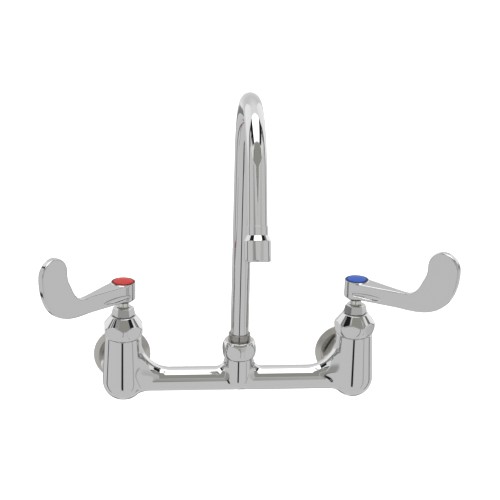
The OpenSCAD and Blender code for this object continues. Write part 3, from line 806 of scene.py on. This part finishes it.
thread_r = coupling_thread_r - slack
flange = turned(rounded([
    (pipe_r, 0, 0.3), (flange_r, 0, 0.3), (flange_r, flange_rim, 0.5),
    (flange_r - flange_cone, flange_t, 0.8), (thread_r, flange_t, 0.4),
    (thread_r, thread_end, 0.4), (shank_bore_r, thread_end, 0.3),
    (shank_bore_r, pipe_end, 0.2), (pipe_r, pipe_end, 0.2),
]), steps=160)
coupling = nut_skin(coupling_nut, coupling_flats / math.sqrt(3), nut_start, nut_end, coupling_step)
for side, prefix in ((HOT, "hot"), (COLD, "cold")):
    show(f"{prefix}_flange", on_inlet(flange, side), f"{prefix}_wall_flange")
    show(f"{prefix}_union_nut", on_inlet(coupling, side), f"{prefix}_coupling_nut")

# Valves
bonnet = nut_skin(bonnet_nut, bonnet_ball_r, -bonnet_skirt, bonnet_h, nut_step)
packing = nut_skin(packing_nut, packing_flats / math.sqrt(3), -packing_skirt, packing_h, packing_step)
grip = skin(
    handle,
    fine_then_coarse(-hub_r, hub_r + 2, arm_len + blade_bend + blade_w / 2),
    spaced(-hub_r, hub_r, nut_step),
    fine_then_coarse(0, hub_h, arm_mid + blade_bend + blade_rise + blade_w / 2),
)
face_h = hub_h - button_seat + slack
dome = [
    (r, face_h + button_dome * (1 - (r / button_r) ** 2), rounding)
    for r, rounding in ((moat_r - moat_half_top, 0.3), (6.0, 4.0), (3.0, 6.0), (0, 0))
]
button = turned(rounded([
    (0, -slack, 0), (clip_inner_r, -slack, 0.1), (clip_inner_r, -clip_len, 0.2),
    (clip_outer_r, -clip_len, 0.2), (clip_outer_r, 0, 0.1), (button_r, 0, 0.2),
    (button_r, face_h + slack, 0.4), (moat_r + moat_half_top, face_h + slack, 0.25),
    (moat_r + moat_half_floor, face_h - moat_depth, 0.1),
    (moat_r - moat_half_floor, face_h - moat_depth, 0.1),
] + dome, closed=False), steps=96, closed=False)
for side, prefix in ((HOT, "hot"), (COLD, "cold")):
    turned_bonnet = on_valve(bonnet, side, bonnet_turn[side], housing_top)
    show(f"{prefix}_bonnet", turned_bonnet, f"{prefix}_bonnet_nut")
    show(f"{prefix}_gland", on_valve(packing, side, 0, packing_z), f"{prefix}_packing_nut")
    show(f"{prefix}_lever", on_valve(grip, side, -swing[side], hub_z), f"{prefix}_handle")
    cap = on_valve(button, side, -swing[side], hub_z + button_seat)
    show(f"{prefix}_cap", cap, f"{prefix}_index_button")

# Spout
nut = nut_skin(swivel_nut, swivel_ball_r, 0, swivel_h, nut_step)
show("spout_nut", placed(nut, move=(0, -wall_offset, swivel_z)), "swivel_nut")

grooves = []
for z in groove_z:
    low, high = z - groove_half, z + groove_half
    floor_r = plug_r - groove_depth
    grooves += [(plug_r, low, 0.1), (floor_r, low, 0.1), (floor_r, high, 0.1), (plug_r, high, 0.1)]
collar_outline = (
    [(spout_waterway_r, plug_z, 0.2), (plug_r, plug_z, 0.3)]
    + grooves
    + [
        (plug_r, plug_top, 0.1), (nose_r - slack, plug_top, 0.2), (nose_r - slack, lip_z, 0.2),
        (collar_r, lip_z, 0.1), (collar_r, collar_top, 0.7),
        (spout_r + spout_fit, collar_top, 0.25), (spout_r + spout_fit, tube_foot_z, 0.1),
        (spout_waterway_r, tube_foot_z, 0.1),
    ]
)
collar = placed(turned(rounded(collar_outline), steps=128), move=(0, -wall_offset, 0))
dull_chrome = plain("dull_chrome", (0.3, 0.29, 0.275), 0.12, 1.0)
show("spout_ferrule", collar, "spout_collar", dull_chrome)

leg_end = bend_z + bend_r * bend_angle + outlet_leg
inner_r = spout_r - spout_wall
tube_outline = rounded([
    (inner_r, tube_foot_z, 0.3), (spout_r, tube_foot_z, 0.3),
    (spout_r, leg_end, 0.3), (inner_r, leg_end, 0.3),
])
show("gooseneck", turned(subdivided(tube_outline, longest=1.2), path=spout_path), "gooseneck_tube")

cup_end = leg_end + cup_h
ring_r = spout_r + ring_height
cup = turned(rounded([
    (spout_r, leg_end - ring_start, 0.1), (ring_r, leg_end - ring_start, 0.2),
    (ring_r, leg_end - cup_shoulder, 1.0), (cup_r, leg_end, 1.2), (cup_r, cup_end, 1.6),
    (cup_thread_r, cup_end, 0.2), (cup_thread_r, leg_end + cup_seat, 0.2),
    (inner_r, leg_end + cup_seat, 0.2), (inner_r, leg_end, 0.1), (spout_r, leg_end, 0.1),
]), steps=128, path=spout_path)
show("aerator_cup", cup, "outlet_cup")


# Surroundings


class Sky:
    """The light tent round the faucet, as brightness by direction."""

    def __init__(self, world):
        world.use_nodes = True
        self.nodes = world.node_tree.nodes
        self.links = world.node_tree.links
        self.nodes.clear()
        direction = self.nodes.new("ShaderNodeTexCoord").outputs["Generated"]
        split = self.nodes.new("ShaderNodeSeparateXYZ")
        self.links.new(direction, split.inputs[0])
        self.x, self.y, self.z = split.outputs

    def math(self, operation, a, b=0.0):
        """Output of one Math node."""
        node = self.nodes.new("ShaderNodeMath")
        node.operation = operation
        for socket, value in zip(node.inputs, (a, b)):
            if isinstance(value, float):
                socket.default_value = value
            else:
                self.links.new(value, socket)
        return node.outputs[0]

    def ramp(self, value, start, end, low=0.0, high=1.0):
        """Rises smoothly from low at start to high at end."""
        node = self.nodes.new("ShaderNodeMapRange")
        node.interpolation_type = "SMOOTHSTEP"
        self.links.new(value, node.inputs["Value"])
        node.inputs["From Min"].default_value = start
        node.inputs["From Max"].default_value = end
        node.inputs["To Min"].default_value = low
        node.inputs["To Max"].default_value = high
        return node.outputs[0]

    def between(self, value, low, high, soft):
        """Is 1 from low to high and 0 outside, with soft edges."""
        rise = self.ramp(value, low - soft, low + soft)
        fall = self.ramp(value, high - soft, high + soft, 1.0, 0.0)
        return self.math("MULTIPLY", rise, fall)

    def paint(self, under, colour, *masks):
        """Lays a colour or a grey over another one where all the masks are 1."""
        mask = masks[0]
        for other in masks[1:]:
            mask = self.math("MULTIPLY", mask, other)
        if isinstance(colour, float):
            colour = (colour, colour, colour)
        node = self.nodes.new("ShaderNodeMix")
        node.data_type = "RGBA"
        self.links.new(mask, node.inputs[0])
        for socket, value in ((node.inputs[6], under), (node.inputs[7], colour)):
            if isinstance(value, tuple):
                socket.default_value = (*value, 1)
            else:
                self.links.new(value, socket)
        return node.outputs[2]


def build_tent():
    """A pale tent with a darker open front, a camera stand in it and a softbox overhead.

    Azimuth is 0 towards the front and positive to the right. Both angles are in degrees.
    """
    world = bpy.data.worlds.new("tent")
    bpy.context.scene.world = world
    sky = Sky(world)
    elevation = sky.math("DEGREES", sky.math("ARCSINE", sky.z))
    azimuth = sky.math("DEGREES", sky.math("ARCTAN2", sky.x, sky.math("MULTIPLY", sky.y, -1.0)))

    def window(left, right, side_soft, lowest, highest, soft):
        return sky.between(azimuth, left, right, side_soft), sky.between(elevation, lowest, highest, soft)

    wall, roof = (0.86, 0.86, 0.86), (1.15, 1.15, 1.15)
    colour = sky.paint(wall, roof, sky.ramp(elevation, 20.0, 60.0))

    # Open front of the tent, dimmer on the left, with a lit strip across it
    dim, bright, strip = (0.46, 0.455, 0.44), (0.72, 0.72, 0.7), (0.86, 0.86, 0.85)
    front = sky.paint(dim, bright, sky.ramp(azimuth, -2.0, 14.0))
    colour = sky.paint(colour, front, *window(-48.0, 48.0, 10.0, -7.0, 66.0, 5.0))
    colour = sky.paint(colour, strip, *window(-60.0, 60.0, 10.0, 19.4, 22.4, 0.6))

    # White wings beside the opening, their dark edges, and the dim warm room between them
    middle, room_low, room_high = 4.0, 22.4, 62.0
    warm = (0.44, 0.43, 0.4)
    off_middle = sky.math("ABSOLUTE", sky.math("SUBTRACT", azimuth, middle))
    outside = sky.math("SUBTRACT", off_middle, sky.ramp(elevation, 22.3, 23.8, -6.0, 48.0))
    wing = (0.0, 42.0, 70.0, 1.15)
    inner_edge = (-1.0, 4.5, 40.0, 0.02)
    outer_edge = (40.0, 46.0, 70.0, 0.02)
    for start, end, highest, grey in (wing, inner_edge, outer_edge):
        high_enough = sky.between(elevation, room_low, highest, 0.3)
        colour = sky.paint(colour, grey, sky.between(outside, start, end, 1.5), high_enough)
    inside = sky.ramp(outside, -2.5, 0.5, 1.0, 0.0)
    colour = sky.paint(colour, warm, inside, sky.between(elevation, room_low, room_high, 0.3))

    # Edge of the table below the opening
    table = (0.13, 0.13, 0.125)
    colour = sky.paint(colour, table, *window(-26.0, 5.0, 4.0, -7.5, -3.5, 2.0))

    # Upright stripes: azimuth, half width, lowest and highest elevation, brightness
    left_corner = (-130.0, 20.0, -6.0, 50.0, 1.3)
    right_corner = (130.0, 20.0, -6.0, 50.0, 1.3)
    camera_stand = (-7.0, 5.5, -42.0, -6.0, 0.015)
    left_seam = (-103.0, 3.5, -52.0, 50.0, 0.03)
    right_seam = (104.0, 3.5, -52.0, 50.0, 0.03)
    front_fold = (57.0, 3.0, -50.0, -8.0, 0.55)
    left_flag = (-161.0, 11.0, -60.0, -17.0, 0.3)
    right_flag = (161.0, 11.0, -60.0, -17.0, 0.3)
    stripes = (
        left_corner, right_corner, left_flag, right_flag,
        camera_stand, left_seam, right_seam, front_fold,
    )
    for at, half_width, lowest, highest, grey in stripes:
        stripe = window(at - half_width, at + half_width, 2.0, lowest, highest, 5.0)
        colour = sky.paint(colour, grey, *stripe)

    # Softbox on a ceiling one unit up, between dark side rails: half width, brightness
    rails, lamp = (1.2, 0.02), (0.58, 2.5)
    above = sky.math("MAXIMUM", sky.z, 0.001)
    ceiling_x = sky.math("DIVIDE", sky.x, above)
    ceiling_y = sky.math("DIVIDE", sky.y, above)
    depth = sky.between(ceiling_y, -0.6, 0.33, 0.05)
    for half_width, grey in (rails, lamp):
        width = sky.between(ceiling_x, -half_width, half_width, 0.02)
        colour = sky.paint(colour, grey, width, depth, sky.ramp(sky.z, 0.05, 0.1))

    light = sky.nodes.new("ShaderNodeBackground")
    sky.links.new(colour, light.inputs["Color"])
    backdrop = sky.nodes.new("ShaderNodeBackground")
    backdrop.inputs["Color"].default_value = (1, 1, 1, 1)
    choose = sky.nodes.new("ShaderNodeMixShader")
    path = sky.nodes.new("ShaderNodeLightPath")
    output = sky.nodes.new("ShaderNodeOutputWorld")
    sky.links.new(path.outputs["Is Camera Ray"], choose.inputs[0])
    sky.links.new(light.outputs[0], choose.inputs[1])
    sky.links.new(backdrop.outputs[0], choose.inputs[2])
    sky.links.new(choose.outputs[0], output.inputs["Surface"])


def build_floor():
    """Plain pale floor, far below a faucet that hangs on the wall."""
    half, low = 30.0, -1.2
    mesh = bpy.data.meshes.new("floor")
    corners = [(-half, -half, low), (half, -half, low), (half, half, low), (-half, half, low)]
    mesh.from_pydata(corners, [], [(0, 1, 2, 3)])
    material, shader = new_material("floor_white", (0.9, 0.9, 0.9), 0.0, 0.9)
    shader.inputs["Emission Color"].default_value = (1, 1, 1, 1)
    shader.inputs["Emission Strength"].default_value = 0.4
    mesh.materials.append(material)
    floor = bpy.data.objects.new("floor", mesh)
    floor.visible_glossy = False
    bpy.context.scene.collection.objects.link(floor)
    floor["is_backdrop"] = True


def build_camera():
    """Camera at the photograph's place: turned left, above, and rolled a little."""
    az, el, roll = math.radians(-5.838), math.radians(20.0), math.radians(1.549)
    target = np.array([7.253, -wall_offset, 120.141])
    distance = 1400.0
    focal_pixels, photo_pixels = 1625.71, 500
    back = np.array([math.sin(az) * math.cos(el), -math.cos(az) * math.cos(el), math.sin(el)])
    right = np.array([math.cos(az), math.sin(az), 0.0])
    up = np.cross(back, right)
    side = math.cos(roll) * right + math.sin(roll) * up
    top = math.cos(roll) * up - math.sin(roll) * right
    place = target + distance * back
    data = bpy.data.cameras.new("camera")
    data.sensor_width = 36.0
    data.lens = focal_pixels / photo_pixels * data.sensor_width
    data.clip_start, data.clip_end = 0.05, 100.0
    camera = bpy.data.objects.new("camera", data)
    matrix = np.eye(4)
    matrix[:3, 0], matrix[:3, 1], matrix[:3, 2], matrix[:3, 3] = side, top, back, place * MM
    camera.matrix_world = Matrix(matrix.tolist())
    bpy.context.scene.collection.objects.link(camera)
    bpy.context.scene.camera = camera


build_tent()
build_floor()
build_camera()
bpy.context.scene.view_settings.view_transform = "Standard"

low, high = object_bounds()
